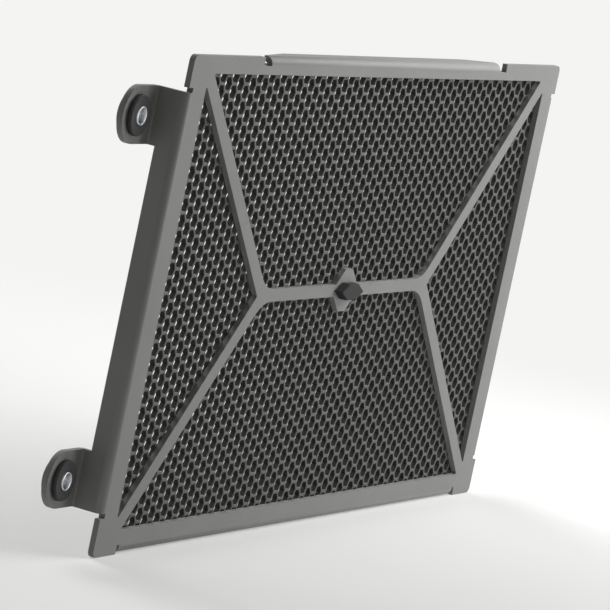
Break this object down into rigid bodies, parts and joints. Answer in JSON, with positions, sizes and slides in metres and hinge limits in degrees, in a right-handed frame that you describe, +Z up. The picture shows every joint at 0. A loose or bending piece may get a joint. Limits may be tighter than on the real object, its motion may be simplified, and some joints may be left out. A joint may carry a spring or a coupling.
{
  "type": "motorcycle radiator guard",
  "caption": "Flat folded-metal radiator guard: bordered frame with a level bar, slanted ribs and a fine hexagon-hole sheet behind, on rubber-mounted ears.",
  "frame": {"origin": "middle of the four fixing points, in the plane where their sleeves meet the bike's brackets", "axes": "+Z up, -Y towards the front of the bike, +X to the right as seen from the front"},
  "size_m": [0.448, 0.0227, 0.2077],
  "materials": {
    "painted_frame": "satin powder coat, dark grey",
    "perforated_sheet": "satin powder coat, dark grey",
    "dark_plate": "matt black, grained in the mould",
    "rubber": "matt moulded rubber",
    "zinc_steel": "bright zinc plating"
  },
  "bodies": {
    "root": {"frame": "painted_frame", "mesh": "perforated_sheet", "centre_plate": "dark_plate", "grommet_upper_left": "rubber", "grommet_upper_right": "rubber", "grommet_lower_left": "rubber", "grommet_lower_right": "rubber", "sleeve_upper_left": "zinc_steel", "sleeve_upper_right": "zinc_steel", "sleeve_lower_left": "zinc_steel", "sleeve_lower_right": "zinc_steel"}
  },
  "joints": []
}
